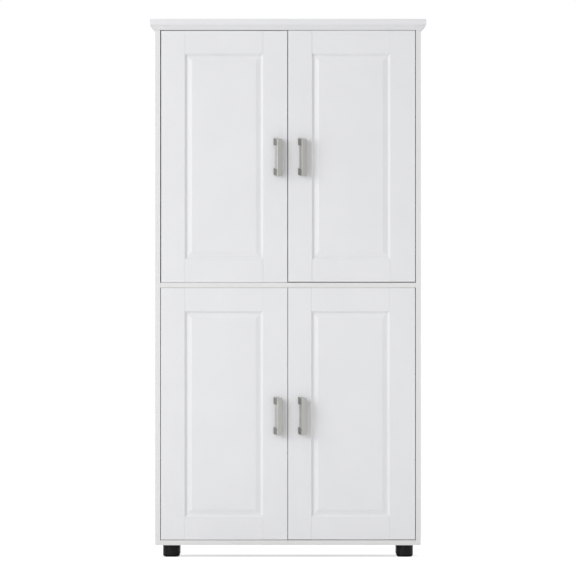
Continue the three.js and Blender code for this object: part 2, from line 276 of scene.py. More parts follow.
def add_screw(bm, place, radius, height):
    """A domed screw head with a cross recess, standing on the XY plane of place."""
    arm, half, recess_floor = radius * 0.62, radius * 0.16, height * 0.1
    corner = [(arm, -half), (arm, half), (half, half)]
    cross = []
    for quarter in range(4):
        turn = Matrix.Rotation(quarter * math.pi / 2, 2)
        cross += [turn @ Vector(point) for point in corner]
    round_points = [point.normalized() * radius for point in cross]
    rings = [
        [(p.x, p.y, 0) for p in round_points],
        [(p.x, p.y, height * 0.35) for p in round_points],
        [(p.x * 0.8, p.y * 0.8, height) for p in round_points],
        [(p.x, p.y, height) for p in cross],
        [(p.x * 0.8, p.y * 0.8, recess_floor) for p in cross],
    ]
    add_loft(bm, [[place @ Vector(point) for point in ring] for ring in rings])


def facing(axis, at):
    """A placing matrix whose +Z points along the given world direction."""
    turn = Vector(axis).to_track_quat("Z", "Y").to_matrix().to_4x4()
    return Matrix.Translation(at) @ turn


def to_mesh(name, bm):
    """The shape as a smooth-shaded mesh in metres."""
    bmesh.ops.scale(bm, vec=(MM, MM, MM), verts=bm.verts)
    bmesh.ops.recalc_face_normals(bm, faces=bm.faces)
    mesh = bpy.data.meshes.new(name)
    bm.to_mesh(mesh)
    bm.free()
    mesh.shade_smooth()
    return mesh


def link(name, mesh):
    """An object at the origin that shows the mesh."""
    made = bpy.data.objects.new(name, mesh)
    bpy.context.scene.collection.objects.link(made)
    return made


def round_edges(made, width, by_weight):
    """Rounds the sharp edges, or with by_weight only as far as each edge's own weight says."""
    rounding = made.modifiers.new("Rounded edges", "BEVEL")
    rounding.width = width * MM
    rounding.segments = 3
    rounding.limit_method = "WEIGHT" if by_weight else "ANGLE"
    rounding.angle_limit = ROUNDED_ANGLE


def cut_away(made, cutter_bm):
    """Cuts a shape out of a piece, keeping the cut and rounded result as its mesh."""
    cutter = link("cutter", to_mesh("cutter", cutter_bm))
    bores = made.modifiers.new("Bores", "BOOLEAN")
    bores.object = cutter
    bores.solver = "EXACT"
    bpy.context.view_layer.update()
    evaluated = made.evaluated_get(bpy.context.evaluated_depsgraph_get())
    made.data = bpy.data.meshes.new_from_object(evaluated)
    made.modifiers.clear()
    bpy.data.objects.remove(cutter)


def piece(name, bm, material, body, slot=None, stands_for=(), rounded=0, cutter=None, **extra):
    """Makes the piece, rounds and bores it, and fixes it to its CAD body.

    extra may hold by_weight, to round edges by their own weights, and crease, the angle in
    degrees from which an unrounded piece's edges show as sharp.
    """
    made = link(name, to_mesh(name, bm))
    made.data.materials.append(material)
    if rounded:
        round_edges(made, rounded, extra.get("by_weight", False))
    else:
        made.data.set_sharp_from_angle(angle=math.radians(extra.get("crease", 35)))
    if cutter:
        cut_away(made, cutter)
    if rounded:
        made.modifiers.new("Even shading", "WEIGHTED_NORMAL").keep_sharp = True
    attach(made, body)
    if stands_for:
        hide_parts(*stands_for)


# ---------------------------------------------------------------- material helpers


class Finish:
    """A material whose shader is fed by noise in the object's own space.

    roughness is the plain value, which shows where nothing is linked in its place.
    """

    def __init__(self, name, roughness, metallic=0.0):
        self.material = bpy.data.materials.new(name)
        self.material.use_nodes = True
        self.nodes = self.material.node_tree.nodes
        self.shader = self.nodes["Principled BSDF"]
        self.shader.inputs["Roughness"].default_value = roughness
        self.shader.inputs["Metallic"].default_value = metallic
        self.coordinates = self.nodes.new("ShaderNodeTexCoord")

    def link(self, source, target):
        self.material.node_tree.links.new(source, target)

    def noise(self, cell, stretch=(1, 1, 1), detail=2.0, seed=0.0):
        """Noise from 0 to 1, with blotches about cell mm across."""
        mapping = self.nodes.new("ShaderNodeMapping")
        mapping.inputs["Scale"].default_value = [1 / (cell * MM * s) for s in stretch]
        self.link(self.coordinates.outputs["Object"], mapping.inputs["Vector"])
        noise = self.nodes.new("ShaderNodeTexNoise")
        noise.noise_dimensions = "4D"
        noise.inputs["W"].default_value = seed
        noise.inputs["Scale"].default_value = 1
        noise.inputs["Detail"].default_value = detail
        self.link(mapping.outputs["Vector"], noise.inputs["Vector"])
        return self.spread(noise.outputs["Fac"], 0.3, 0.7, 0, 1)

    def spread(self, value, from_low, from_high, low, high):
        """Maps a value from one range to another, clamped."""
        node = self.nodes.new("ShaderNodeMapRange")
        node.inputs["From Min"].default_value = from_low
        node.inputs["From Max"].default_value = from_high
        node.inputs["To Min"].default_value = low
        node.inputs["To Max"].default_value = high
        self.link(value, node.inputs["Value"])
        return node.outputs["Result"]

    def mixed(self, factor, first, second):
        """One colour into another. Each is a colour or an output."""
        node = self.nodes.new("ShaderNodeMix")
        node.data_type = "RGBA"
        colours = [socket for socket in node.inputs if socket.type == "RGBA"]
        for socket, colour in zip(colours, (first, second)):
            if isinstance(colour, tuple):
                socket.default_value = (*colour, 1)
            else:
                self.link(colour, socket)
        self.link(factor, node.inputs["Factor"])
        return next(socket for socket in node.outputs if socket.type == "RGBA")

    def product(self, first, second):
        """One factor times another."""
        node = self.nodes.new("ShaderNodeMath")
        node.operation = "MULTIPLY"
        self.link(first, node.inputs[0])
        self.link(second, node.inputs[1])
        return node.outputs["Value"]

    def corners(self, reach):
        """1 in tight inner corners and joints, 0 in the open: an occlusion mask that the finishes use
        to paint shade, and a dusting, into them.
        """
        node = self.nodes.new("ShaderNodeAmbientOcclusion")
        node.samples = 6
        node.inputs["Distance"].default_value = reach * MM
        return self.spread(node.outputs["AO"], 0.35, 0.9, 1, 0)

    def edges(self, reach):
        """1 along outer edges that rub, 0 on flat faces."""
        rounded = self.nodes.new("ShaderNodeBevel")
        rounded.samples = 4
        rounded.inputs["Radius"].default_value = reach * MM
        geometry = self.nodes.new("ShaderNodeNewGeometry")
        likeness = self.nodes.new("ShaderNodeVectorMath")
        likeness.operation = "DOT_PRODUCT"
        self.link(rounded.outputs["Normal"], likeness.inputs[0])
        self.link(geometry.outputs["Normal"], likeness.inputs[1])
        return self.spread(likeness.outputs["Value"], 0.8, 0.99, 1, 0)

    def bump(self, height, depth, under=None):
        """A bump of about depth mm, on top of an earlier one."""
        node = self.nodes.new("ShaderNodeBump")
        node.inputs["Distance"].default_value = depth * MM
        self.link(height, node.inputs["Height"])
        if under:
            self.link(under, node.inputs["Normal"])
        return node.outputs["Normal"]

    def finish(self, colour, roughness, normal):
        """Feeds the shader and hands over the finished material."""
        self.link(colour, self.shader.inputs["Base Color"])
        self.link(roughness, self.shader.inputs["Roughness"])
        self.link(normal, self.shader.inputs["Normal"])
        return self.material


def scaled(colour, factor):
    """The colour made lighter or darker."""
    return tuple(channel * factor for channel in colour)


# ---------------------------------------------------------------- materials


def white_lacquer():
    """Sprayed satin lacquer on MDF: fine orange peel, corners greyed with painted shade and a dusting,
    rubbed edges.
    """
    base = (0.855, 0.857, 0.872)
    finish = Finish("white_lacquer", 0.4)
    clouds = finish.noise(160, detail=3, seed=1)
    colour = finish.mixed(clouds, scaled(base, 0.985), scaled(base, 1.012))
    rubbed = finish.product(finish.edges(1.6), finish.noise(7, detail=4, seed=2))
    colour = finish.mixed(finish.spread(rubbed, 0, 1, 0, 0.5), colour, (0.80, 0.79, 0.76))
    # painted shade: grey mixed in where the occlusion mask finds corners and joints, standing also for
    # a dusting
    dust_and_shade = finish.spread(finish.corners(5), 0, 1, 0, 0.3)
    colour = finish.mixed(dust_and_shade, colour, (0.63, 0.62, 0.60))
    roughness = finish.spread(finish.noise(45, detail=4, seed=3), 0, 1, 0.36, 0.46)
    peel = finish.bump(finish.noise(2.6, detail=1, seed=4), 0.018)
    grain = finish.bump(finish.noise(0.45, seed=5), 0.004, peel)
    return finish.finish(colour, roughness, grain)


def white_board():
    """Melamine-faced board: a fine pebble texture and slightly greyer edge bands."""
    base = (0.82, 0.82, 0.815)
    finish = Finish("white_board", 0.5)
    clouds = finish.noise(220, detail=3, seed=11)
    colour = finish.mixed(clouds, scaled(base, 0.985), scaled(base, 1.015))
    # painted shade: grey mixed in at corners and joints from the occlusion mask, standing also for a
    # dusting
    dust_and_shade = finish.spread(finish.corners(7), 0, 1, 0, 0.3)
    colour = finish.mixed(dust_and_shade, colour, (0.60, 0.59, 0.56))
    rubbed = finish.product(finish.edges(1.2), finish.noise(9, detail=4, seed=12))
    colour = finish.mixed(finish.spread(rubbed, 0, 1, 0, 0.6), colour, (0.70, 0.68, 0.63))
    roughness = finish.spread(finish.noise(60, detail=4, seed=13), 0, 1, 0.42, 0.56)
    pebble = finish.bump(finish.noise(0.9, detail=2, seed=14), 0.02)
    return finish.finish(colour, roughness, pebble)


def hardboard():
    """Thin hardboard: printed white towards the inside, raw brown fibre on the outside."""
    finish = Finish("hardboard", 0.8)
    fibres = finish.noise(1.6, stretch=(3, 1, 1), detail=6, seed=21)
    raw = finish.mixed(fibres, (0.30, 0.19, 0.105), (0.52, 0.36, 0.215))
    clouds = finish.noise(70, detail=4, seed=22)
    raw = finish.mixed(finish.spread(clouds, 0, 1, 0, 0.35), raw, (0.40, 0.27, 0.16))
    flecks = finish.spread(finish.noise(2.2, stretch=(2, 1, 1), seed=23), 0.86, 1, 0, 0.7)
    raw = finish.mixed(flecks, raw, (0.16, 0.09, 0.05))
    printed = finish.mixed(clouds, (0.77, 0.77, 0.76), (0.81, 0.81, 0.80))
    split = finish.nodes.new("ShaderNodeSeparateXYZ")
    finish.link(finish.coordinates.outputs["Normal"], split.inputs["Vector"])
    inner_face = finish.spread(split.outputs["Y"], -0.9, -0.5, 1, 0)
    colour = finish.mixed(inner_face, raw, printed)
    roughness = finish.spread(inner_face, 0, 1, 0.85, 0.5)
    screen = finish.bump(finish.noise(1.1, detail=1, seed=24), 0.12)
    coarse = finish.bump(fibres, 0.06, screen)
    return finish.finish(colour, roughness, coarse)


def black_plastic():
    """Moulded black plastic with a fine spark texture, scuffed towards its edges."""
    finish = Finish("black_plastic", 0.3)
    clouds = finish.noise(12, detail=4, seed=31)
    finish.shader.inputs["Specular IOR Level"].default_value = 0.22
    colour = finish.mixed(clouds, (0.006, 0.0065, 0.006), (0.010, 0.0105, 0.010))
    scuffs = finish.product(finish.edges(1.5), finish.noise(3, detail=5, seed=32))
    colour = finish.mixed(finish.spread(scuffs, 0.2, 1, 0, 0.5), colour, (0.06, 0.06, 0.06))
    roughness = finish.spread(finish.noise(5, detail=4, seed=33), 0, 1, 0.26, 0.38)
    spark = finish.bump(finish.noise(0.35, seed=34), 0.012)
    return finish.finish(colour, roughness, spark)


def brushed_metal(name, colour, low, high, brushing, seed):
    """Plated metal with brush lines along its length and a few softer smudges."""
    finish = Finish(name, low, metallic=1.0)
    lines = finish.noise(0.35, stretch=brushing, detail=3, seed=seed)
    smudges = finish.noise(14, detail=3, seed=seed + 1)
    tone = finish.mixed(lines, scaled(colour, 0.93), scaled(colour, 1.05))
    tone = finish.mixed(finish.spread(smudges, 0, 1, 0, 0.25), tone, scaled(colour, 0.88))
    worn = finish.product(finish.edges(0.8), finish.noise(4, detail=4, seed=seed + 2))
    tone = finish.mixed(finish.spread(worn, 0.2, 1, 0, 0.6), tone, scaled(colour, 1.2))
    # painted shade: the metal darkened to a third in corners and joints from the occlusion mask,
    # standing also for a dusting
    dust_and_shade = finish.spread(finish.corners(2.5), 0, 1, 0, 0.45)
    tone = finish.mixed(dust_and_shade, tone, scaled(colour, 0.35))
    roughness = finish.spread(lines, 0, 1, low, high)
    scratches = finish.bump(lines, 0.006)
    return finish.finish(tone, roughness, scratches)


def white_plastic():
    """Slightly translucent white nylon, for the catches and the cam covers."""
    finish = Finish("white_plastic", 0.45)
    clouds = finish.noise(8, detail=3, seed=61)
    colour = finish.mixed(clouds, (0.74, 0.74, 0.72), (0.80, 0.80, 0.78))
    # painted shade: grey mixed in at corners and joints from the occlusion mask, standing also for a
    # dusting
    dust_and_shade = finish.spread(finish.corners(2), 0, 1, 0, 0.4)
    colour = finish.mixed(dust_and_shade, colour, (0.50, 0.49, 0.46))
    roughness = finish.spread(finish.noise(3, detail=3, seed=62), 0, 1, 0.38, 0.52)
    skin = finish.bump(finish.noise(0.6, seed=63), 0.01)
    return finish.finish(colour, roughness, skin)


lacquer = white_lacquer()
melamine = white_board()
fibreboard = hardboard()
plastic = black_plastic()
nylon = white_plastic()
nickel = brushed_metal("satin_nickel", (0.62, 0.615, 0.595), 0.3, 0.42, (1, 1, 60), 41)
# painted shade: a darker, rougher copy of the satin nickel, used for the handles' legs
shaded_nickel = brushed_metal("shaded_nickel", (0.34, 0.34, 0.32), 0.42, 0.56, (3, 3, 3), 51)
steel = brushed_metal("hinge_steel", (0.66, 0.665, 0.67), 0.22, 0.32, (12, 160, 12), 71)


# ---------------------------------------------------------------- carcass boards


def board(node, material, slot, rounded, shrink=(0, 0, 0), cutter=None):
    """A board in the place of its CAD node. shrink takes that much off its highest corner."""
    low, high = node_box(node)
    bm = bmesh.new()
    add_box(bm, low, high - Vector(shrink))
    piece(f"{node}_board", bm, material, "carcass", slot, [node], rounded, cutter)


def shelf_steps(row):
    """Height of the lower shelf's pins and the pitch of the pin holes in a section."""
    lower, upper = (node_box(f"shelf_{row}_{i}")[0].z for i in (1, 2))
    return lower - pin_holes.radius, (upper - lower) / pin_holes.per_shelf_pitch


def pin_hole_cutter(side):
    """Two columns of shelf-pin holes in each section of a side's inner face."""
    bm = bmesh.new()
    x = -hand(side) * inner_x
    inwards = -hand(side) * pin_holes.depth
    for row in ROWS:
        first, pitch = shelf_steps(row)
        for step in range(-pin_holes.beyond, pin_holes.per_shelf_pitch + pin_holes.beyond + 1):
            for y in (pin_holes.front_y, pin_holes.back_y):
                centre = (x, y, first + step * pitch)
                ends = [(pin_holes.radius, -0.2 * inwards), (pin_holes.radius, inwards)]
                add_turned(bm, "X", centre, ends, 16)
    return bm


def boards():
    """The carcass: sides, cross boards, shelves, back sheets and top."""
    for side in SIDES:
        cutter = pin_hole_cutter(side)
        board(f"side_{side}", melamine, "white_board", rounded=0.5, cutter=cutter)
    for node in ("bottom_panel", "middle_panel", "top_rail_front", "top_rail_back"):
        board(node, melamine, "white_board", rounded=0.4)
    nail_head = 0.4  # how far the nails' heads stand out of the back sheets
    for row in ROWS:
        for i in (1, 2):
            board(f"shelf_{row}_{i}", melamine, "white_board", rounded=0.6)
        sheet = f"back_sheet_{row}"
        board(sheet, fibreboard, "hardboard", rounded=0.3, shrink=(0, nail_head, 0))
    board("top_board", lacquer, "white_lacquer", rounded=1.3)


# ---------------------------------------------------------------- splayed moulding


def moulding_section():
    """Reach out from the carcass face, and height, round the moulding's section."""
    return [
        (0, moulding_low_z),
        (moulding.toe, moulding_low_z),
        (moulding.reach, moulding_top_z - moulding.lip),
        (moulding.reach, moulding_top_z),
        (0, moulding_top_z),
    ]


def mouldings():
    """The front strip, mitred at both ends, and the two side strips that run to the back."""
    section = moulding_section()
    gap = moulding.hairline

    def strip(node, ends):
        bm = bmesh.new()
        add_loft(bm, ends)
        edge_round = moulding.edge_round
        piece(f"{node}_splay", bm, lacquer, "carcass", "white_lacquer", [node], edge_round)

    front = [
        [(end * (outer_x + out - gap), front_y - out, z) for out, z in section] for end in (-1, 1)
    ]
    strip("moulding_front", front)
    for side in SIDES:
        away = -hand(side)
        mitre = [(away * (outer_x + out), front_y - out + gap, z) for out, z in section]
        square = [(away * (outer_x + out), back_y, z) for out, z in section]
        strip(f"moulding_{side}", [mitre, square])


# ---------------------------------------------------------------- feet


def feet():
    """Four turned feet with a rounded lower edge, and a groove under the upper rim."""
    for row in ("front", "back"):
        for side in SIDES:
            node = f"foot_{row}_{side}"
            low, high = node_box(node)
            centre = ((low.x + high.x) / 2, (low.y + high.y) / 2, 0)
            rim_z = high.z - foot.rim_height
            flat = foot.waist - foot.edge_round
            profile = [
                (foot.socket_radius / 2, foot.socket_depth),
                (foot.socket_radius, foot.socket_depth),
                (foot.socket_radius + 0.4, foot.recess_depth),
                (foot.recess_radius, foot.recess_depth),
                (foot.recess_radius + 0.6, 0),
                (flat, 0),
            ]
            for i in range(1, foot.edge_steps + 1):
                turn = i / foot.edge_steps * math.pi / 2
                out = flat + foot.edge_round * math.sin(turn)
                profile.append((out, foot.edge_round * (1 - math.cos(turn))))
            profile += [
                (foot.waist, rim_z - 1.2),
                (foot.waist - foot.groove, rim_z - 0.9),
                (foot.waist - foot.groove, rim_z - 0.3),
                (foot.rim_radius - 0.3, rim_z),
                (foot.rim_radius, rim_z + 0.4),
                (foot.rim_radius, high.z - 0.3),
                (foot.rim_radius - 0.3, high.z),
            ]
            bm = bmesh.new()
            add_turned(bm, "Z", centre, profile, 72)
            piece(f"{node}_moulded", bm, plastic, "carcass", "black_plastic", [node])


# ---------------------------------------------------------------- doors


def moulded_edge():
    """The splayed inner edge of stiles and rails: distance from the opening, and depth."""
    blunt = 0.2
    return [(door.slope_width, 0), (blunt, door.slope_depth - blunt), (0, door.slope_depth)]


class DoorShape:
    """One door's place and outline. u runs from the opening's middle to the free edge."""

    def __init__(self, row, side):
        gap = gaps[row, side]
        self.centre = door_centre(row, side) - Vector((gap.shift, 0, 0))
        self.hand = hand(side)
        self.hinged = -(inner_x - gap.hinge - abs(self.centre.x))
        self.free = abs(self.centre.x) - gap.free
        self.free_joint = gap.free_joint
        self.low = door_floor_z[row] + gap.bottom - self.centre.z
        self.high = door_ceiling_z[row] - gap.top - self.centre.z

    def at(self, u, y, z):
        """A point from the middle of the panel opening: u across, y backwards and z up."""
        return self.centre + Vector((self.hand * u, y, z))

    def weigh_edges(self, bm):
        """Rounds the door's outer edges fully, and the edges at its joints only a little."""
        bm.normal_update()
        weights = bm.edges.layers.float.new("bevel_weight_edge")
        outline_x = [self.at(u, 0, 0).x for u in (self.hinged, self.free)]
        outline_z = [self.at(0, 0, z).z for z in (self.low, self.high)]
        for edge in bm.edges:
            if edge.calc_face_angle(0) < ROUNDED_ANGLE:
                continue
            middle = (edge.verts[0].co + edge.verts[1].co) / 2
            outer = any(abs(middle.x - x) < TOUCH for x in outline_x)
            outer = outer or any(abs(middle.z - z) < TOUCH for z in outline_z)
            fully = outer and not self.ends_at_joint(edge)
            edge[weights] = 1.0 if fully else door.joint_round

    def ends_at_joint(self, edge):
        """True for a short edge that crosses the outline at a joint between two pieces."""
        middle = (edge.verts[0].co + edge.verts[1].co) / 2
        inner = door.half_opening_x + door.slope_width
        across = abs(middle.x - self.centre.x)
        span = abs(edge.verts[0].co.x - edge.verts[1].co.x)
        return door.half_opening_x - 1 < across <= inner + TOUCH and span < door.slope_width + 1


def stile(shape, outer, low, high):
    """An upright of the door's frame, on the side where its outer edge lies."""
    side = 1 if outer > 0 else -1
    section = [(outer, door.thickness), (outer, 0)]
    section += [(side * (door.half_opening_x + out), depth) for out, depth in moulded_edge()]
    section.append((side * door.half_opening_x, door.thickness))
    bm = bmesh.new()
    add_loft(bm, [[shape.at(u, y, z) for u, y in section] for z in (low, high)])
    shape.weigh_edges(bm)
    return bm


def rail(shape, outer):
    """A cross rail, moulded along the opening and coped at its ends to fit the stiles."""
    side = 1 if outer > 0 else -1
    profile = moulded_edge()
    levels = [(outer, 0)]
    levels += [(side * (door.half_opening_z + out), i) for i, (out, _) in enumerate(profile)]
    rings = []
    for z, shallowest in levels:
        ends = [profile[max(i, shallowest)] for i in range(len(profile))]
        ends.append((0, door.thickness))
        hinge_end = door.half_opening_x - door.hinge_joint
        free_end = door.half_opening_x - shape.free_joint
        ring = [shape.at(-hinge_end - out, y, z) for out, y in ends]
        ring += [shape.at(free_end + out, y, z) for out, y in reversed(ends)]
        rings.append(ring)
    bm = bmesh.new()
    add_loft(bm, rings)
    bmesh.ops.remove_doubles(bm, verts=bm.verts, dist=0.001)
    shape.weigh_edges(bm)
    return bm


def raised_panel(shape):
    """The panel: a raised field, a slightly hollow bevel all round, and a hidden tongue."""
    levels = [(panel.bevel_width, panel.field_depth)]
    fall = panel.edge_depth - panel.field_depth
    for share in (0.25, 0.5, 0.75):
        hollow = panel.hollow * math.sin(share * math.pi)
        levels.append((panel.bevel_width * (1 - share), panel.field_depth + fall * share + hollow))
    levels += [
        (0, panel.edge_depth),
        (-panel.tongue, panel.edge_depth + panel.tongue_step),
        (-panel.tongue, panel.back_depth),
    ]
    rings = []
    for inset, depth in levels:
        x, z = door.half_opening_x - inset, door.half_opening_z - inset
        corners = ((-x, -z), (x, -z), (x, z), (-x, z))
        rings.append([shape.at(u, depth, height) for u, height in corners])
    bm = bmesh.new()
    add_loft(bm, rings)
    return bm


def cup_bores(shape):
    """The two round pockets for the hinge cups, open at the door's back."""
    bm = bmesh.new()
    radius = hinge.cup_radius + 0.1
    for end in HINGE_ENDS.values():
        centre = hinge_point(shape, end, hinge.cup_x, 0, 0)
        ends = [(radius, hinge.cup_front - 0.2), (radius, door.thickness + 1)]
        add_turned(bm, "Y", centre, ends, 48)
    return bm


def screw_bores(origin):
    """The two holes right through the door for the handle's screws."""
    bm = bmesh.new()
    for end in (-1, 1):
        centre = origin + Vector((0, 0, end * handle.screw_pitch / 2))
        ends = [(handle.bore_radius, -1), (handle.bore_radius, door.thickness + 1)]
        add_turned(bm, "Y", centre, ends, 20)
    return bm


def door_leaf(row, side, shape, origin):
    """The wooden part of a door: two stiles, two rails and the panel between them."""
    body = f"door_{row}_{side}"

    def add(name, bm, node, cutter=None, **extra):
        stands_for = [f"{body}_{node}"]
        piece(f"{body}_{name}", bm, lacquer, body, "white_lacquer", stands_for, cutter=cutter, **extra)

    edges = {"rounded": door.outer_round, "by_weight": True}
    hinge_stile = stile(shape, shape.hinged, shape.low, shape.high)
    add("hinge_stile", hinge_stile, "stile_hinge", cup_bores(shape), **edges)
    handle_stile = stile(shape, shape.free, shape.low, shape.high)
    add("handle_stile", handle_stile, "stile_handle", screw_bores(origin), **edges)
    add("top_rail", rail(shape, shape.high), "rail_top", **edges)
    add("bottom_rail", rail(shape, shape.low), "rail_bottom", **edges)
    add("raised_panel", raised_panel(shape), "panel", crease=8)


# ---------------------------------------------------------------- handles


def handle_origin(row, side):
    """The point on the door's face midway between the handle's screws."""
    low, high = node_box(f"handle_{row}_{side}")
    z = (low.z + high.z) / 2 + handle.sag / 2
    return Vector((-hand(side) * handle.from_centre, front_y, z))


def handle_prism(bm, origin, section, low, high):
    """A prism along Z that leans down as it stands further out of the door."""
    lean = handle.sag / handle.projection
    add_loft(bm, [[origin + Vector((x, y, z + y * lean)) for x, y in section] for z in (low, high)])


def handles(row, side, origin):
    """A door's handle: the bent grip, the two cast legs it stands on, darkened with painted shade, and
    its screws.
    """
    body = f"door_{row}_{side}"
    front = -handle.projection
    grip_back = front + handle.grip_thickness
    flank_y = front + handle.flank_depth
    grip = [
        (handle.foot_right, front),
        (handle.grip_right, front),
        (handle.grip_right, grip_back),
        (handle.foot_right + handle.grip_thickness / 2, grip_back),
        (handle.flank_left + handle.grip_thickness, flank_y),
        (handle.flank_left, flank_y),
    ]
    bm = bmesh.new()
    handle_prism(bm, origin, grip, -handle.half_length, handle.half_length)
    node = f"handle_{row}_{side}"
    piece(f"{node}_grip", bm, nickel, body, "satin_nickel", [node], rounded=0.7)

    leg = [
        (handle.foot_left, 0),
        (handle.foot_left, -handle.leg_side),
        (handle.leg_crown, front + 2),
        (handle.grip_right - 2, grip_back - 0.15),
        (handle.foot_right, 0),
    ]
    bm = bmesh.new()
    leg_start = handle.leg_end - handle.leg_length
    for low, high in ((-handle.leg_end, -leg_start), (leg_start, handle.leg_end)):
        handle_prism(bm, origin, leg, low, high)
    # The legs take the darker nickel copy, which paints shade on them.
    piece(f"{node}_legs", bm, shaded_nickel, body, "satin_nickel", [node], rounded=0.5)

    bm = bmesh.new()
    for end in (-1, 1):
        at = origin + Vector((0, door.thickness, end * handle.screw_pitch / 2))
        add_screw(bm, facing((0, 1, 0), at), handle.screw_radius, handle.screw_height)
    piece(f"{node}_screws", bm, steel, body)


# ---------------------------------------------------------------- concealed hinges


def hinge_point(shape, end, x, y, z):
    """A point given from the door's hinged edge, its face and the hinge's centre height."""
    out = hinge.hinged_edge - abs(shape.centre.x)
    return shape.at(x - out, y, z + end * hinge.from_door_centre)


def wing_outline(low, high, corner):
    """A wing of the hinge cup's flange in XZ, with its two outer corners rounded."""
    left, right = hinge.cup_x - hinge.wing_half_width, hinge.cup_x + hinge.wing_half_width
    points = [(left, low), (right, low)]
    steps = 5
    for quarter, x in ((0, right - corner), (1, left + corner)):
        for i in range(steps + 1):
            turn = (quarter + i / steps) * math.pi / 2
            points.append((x + corner * math.cos(turn), high - corner + corner * math.sin(turn)))
    return points


def hinge_cup(shape, end, node, body):
    """The cup let into the door's back, with its flange, screwed wings and pin."""
    inner = hinge.cup_radius - hinge.cup_wall
    floor = hinge.cup_front + hinge.cup_wall
    top = hinge.flange_top
    wing_top = top - 0.06
    face = door.thickness + 0.05
    centre_hole = 0.6
    profile = [
        (centre_hole, floor),
        (inner - 1.2, floor),
        (inner - 0.3, floor + 0.4),
        (inner, floor + 1.2),
        (inner, top - 0.5),
        (inner + 0.4, top),
        (hinge.flange_radius - 0.4, top),
        (hinge.flange_radius, top - 0.3),
        (hinge.flange_radius, face),
        (hinge.cup_radius, face),
        (hinge.cup_radius, hinge.cup_front + 1),
        (hinge.cup_radius - 1, hinge.cup_front),
        (centre_hole, hinge.cup_front),
    ]
    bm = bmesh.new()
    add_turned(bm, "Y", hinge_point(shape, end, hinge.cup_x, 0, 0), profile, 56)
    for way in (-1, 1):
        outline = wing_outline(inner + 0.6, hinge.wing_reach, corner=4.5)
        rings = [
            [hinge_point(shape, end, x, y, way * z) for x, z in outline] for y in (face, wing_top)
        ]
        add_loft(bm, rings)
    pin = [(hinge.pin_radius, -hinge.pin_half_length), (hinge.pin_radius, hinge.pin_half_length)]
    add_turned(bm, "Z", hinge_point(shape, end, hinge.pivot_x, hinge.pivot_y, 0), pin, 16)
    for way in (-1, 1):
        at = hinge_point(shape, end, hinge.cup_x, wing_top, way * hinge.cup_screw_z)
        add_screw(bm, facing((0, 1, 0), at), radius=3.4, height=1.1)
    piece(f"{node}_steel", bm, steel, body, "hinge_steel", [node])


def strip_outline(points, thickness):
    """The outline of a flat strip of even thickness bent along a line of points."""
    line = [Vector(point) for point in points]
    steps = [(far - near).normalized() for near, far in zip(line, line[1:])]
    left, right = [], []
    for i, point in enumerate(line):
        before, after = steps[max(i - 1, 0)], steps[min(i, len(steps) - 1)]
        normals = [Vector((-step.y, step.x)) for step in (before, after)]
        mitre = (normals[0] + normals[1]).normalized()
        offset = mitre * (thickness / 2 / mitre.dot(normals[1]))
        left.append(point + offset)
        right.append(point - offset)
    return right + left[::-1]


def hinge_arm(shape, end, node):
    """The cranked arm from the pin to its plate on the carcass, its knuckle and its screws."""
    half = hinge.arm_half_width
    line = [
        (hinge.pivot_x + 2.2, hinge.pivot_y + 1.05),
        hinge.neck_end,
        (hinge.neck_end[0], hinge.crank_y),
        (hinge.run_x, hinge.crank_y),
        (hinge.run_x, hinge.run_end_y),
    ]
    outline = strip_outline(line, hinge.arm_thickness)
    bm = bmesh.new()
    add_loft(bm, [[hinge_point(shape, end, x, y, z) for x, y in outline] for z in (-half, half)])

    def block(from_x, to_x, span_y, half_height):
        low = hinge_point(shape, end, from_x, span_y[0], -half_height)
        high = hinge_point(shape, end, to_x, span_y[1], half_height)
        corners = list(zip(low, high))
        add_box(bm, [min(pair) for pair in corners], [max(pair) for pair in corners])

    ear_x = hinge.plate_x - 0.05
    block(hinge.plate_x, hinge.run_x - 0.9, hinge.seat_y, half - 0.4)
    block(hinge.wall_x, hinge.plate_x, hinge.plate_y, hinge.plate_half_height)
    block(hinge.wall_x + 0.01, ear_x, hinge.ear_y, hinge.ear_half_height)
    piece(f"{node}_steel", bm, steel, "carcass", "hinge_steel", [node], rounded=0.4)

    bm = bmesh.new()
    barrel = [
        (hinge.knuckle_bore, -half),
        (hinge.knuckle_radius, -half),
        (hinge.knuckle_radius, half),
        (hinge.knuckle_bore, half),
    ]
    pivot = hinge_point(shape, end, hinge.pivot_x, hinge.pivot_y, 0)
    add_turned(bm, "Z", pivot, barrel, 24, closed=True)
    out = Vector((shape.hand, 0, 0))
    for way in (-1, 1):
        at = hinge_point(shape, end, ear_x, sum(hinge.ear_y) / 2, way * hinge.ear_screw_z)
        add_screw(bm, facing(out, at), radius=3.6, height=1.2)
    for y in hinge.arm_screw_y:
        at = hinge_point(shape, end, hinge.run_x + hinge.arm_thickness / 2, y, 0)
        add_screw(bm, facing(out, at), radius=3.0, height=1.0)
    piece(f"{node}_knuckle_and_screws", bm, steel, "carcass")


# ---------------------------------------------------------------- small fittings


def shelf_pins():
    """Four steel pins under each shelf, each with a shank in its hole, a collar and a peg."""
    shank = [(2.2, 7), (2.4, 6.6), (2.4, 0)]
    collar = [(3.9, 0), (3.9, -0.8)]
    peg = [(2.45, -0.9), (2.45, -8), (2.1, -8.4)]
    for row in ROWS:
        for i in (1, 2):
            bm = bmesh.new()
            z = node_box(f"shelf_{row}_{i}")[0].z - pin_holes.radius
            for side in SIDES:
                away = -hand(side)
                for y in (pin_holes.front_y, pin_holes.back_y):
                    centre = (away * inner_x, y, z)
                    profile = [(radius, away * along) for radius, along in shank + collar + peg]
                    add_turned(bm, "X", centre, profile, 24)
            piece(f"shelf_pins_{row}_{i}", bm, steel, "carcass")


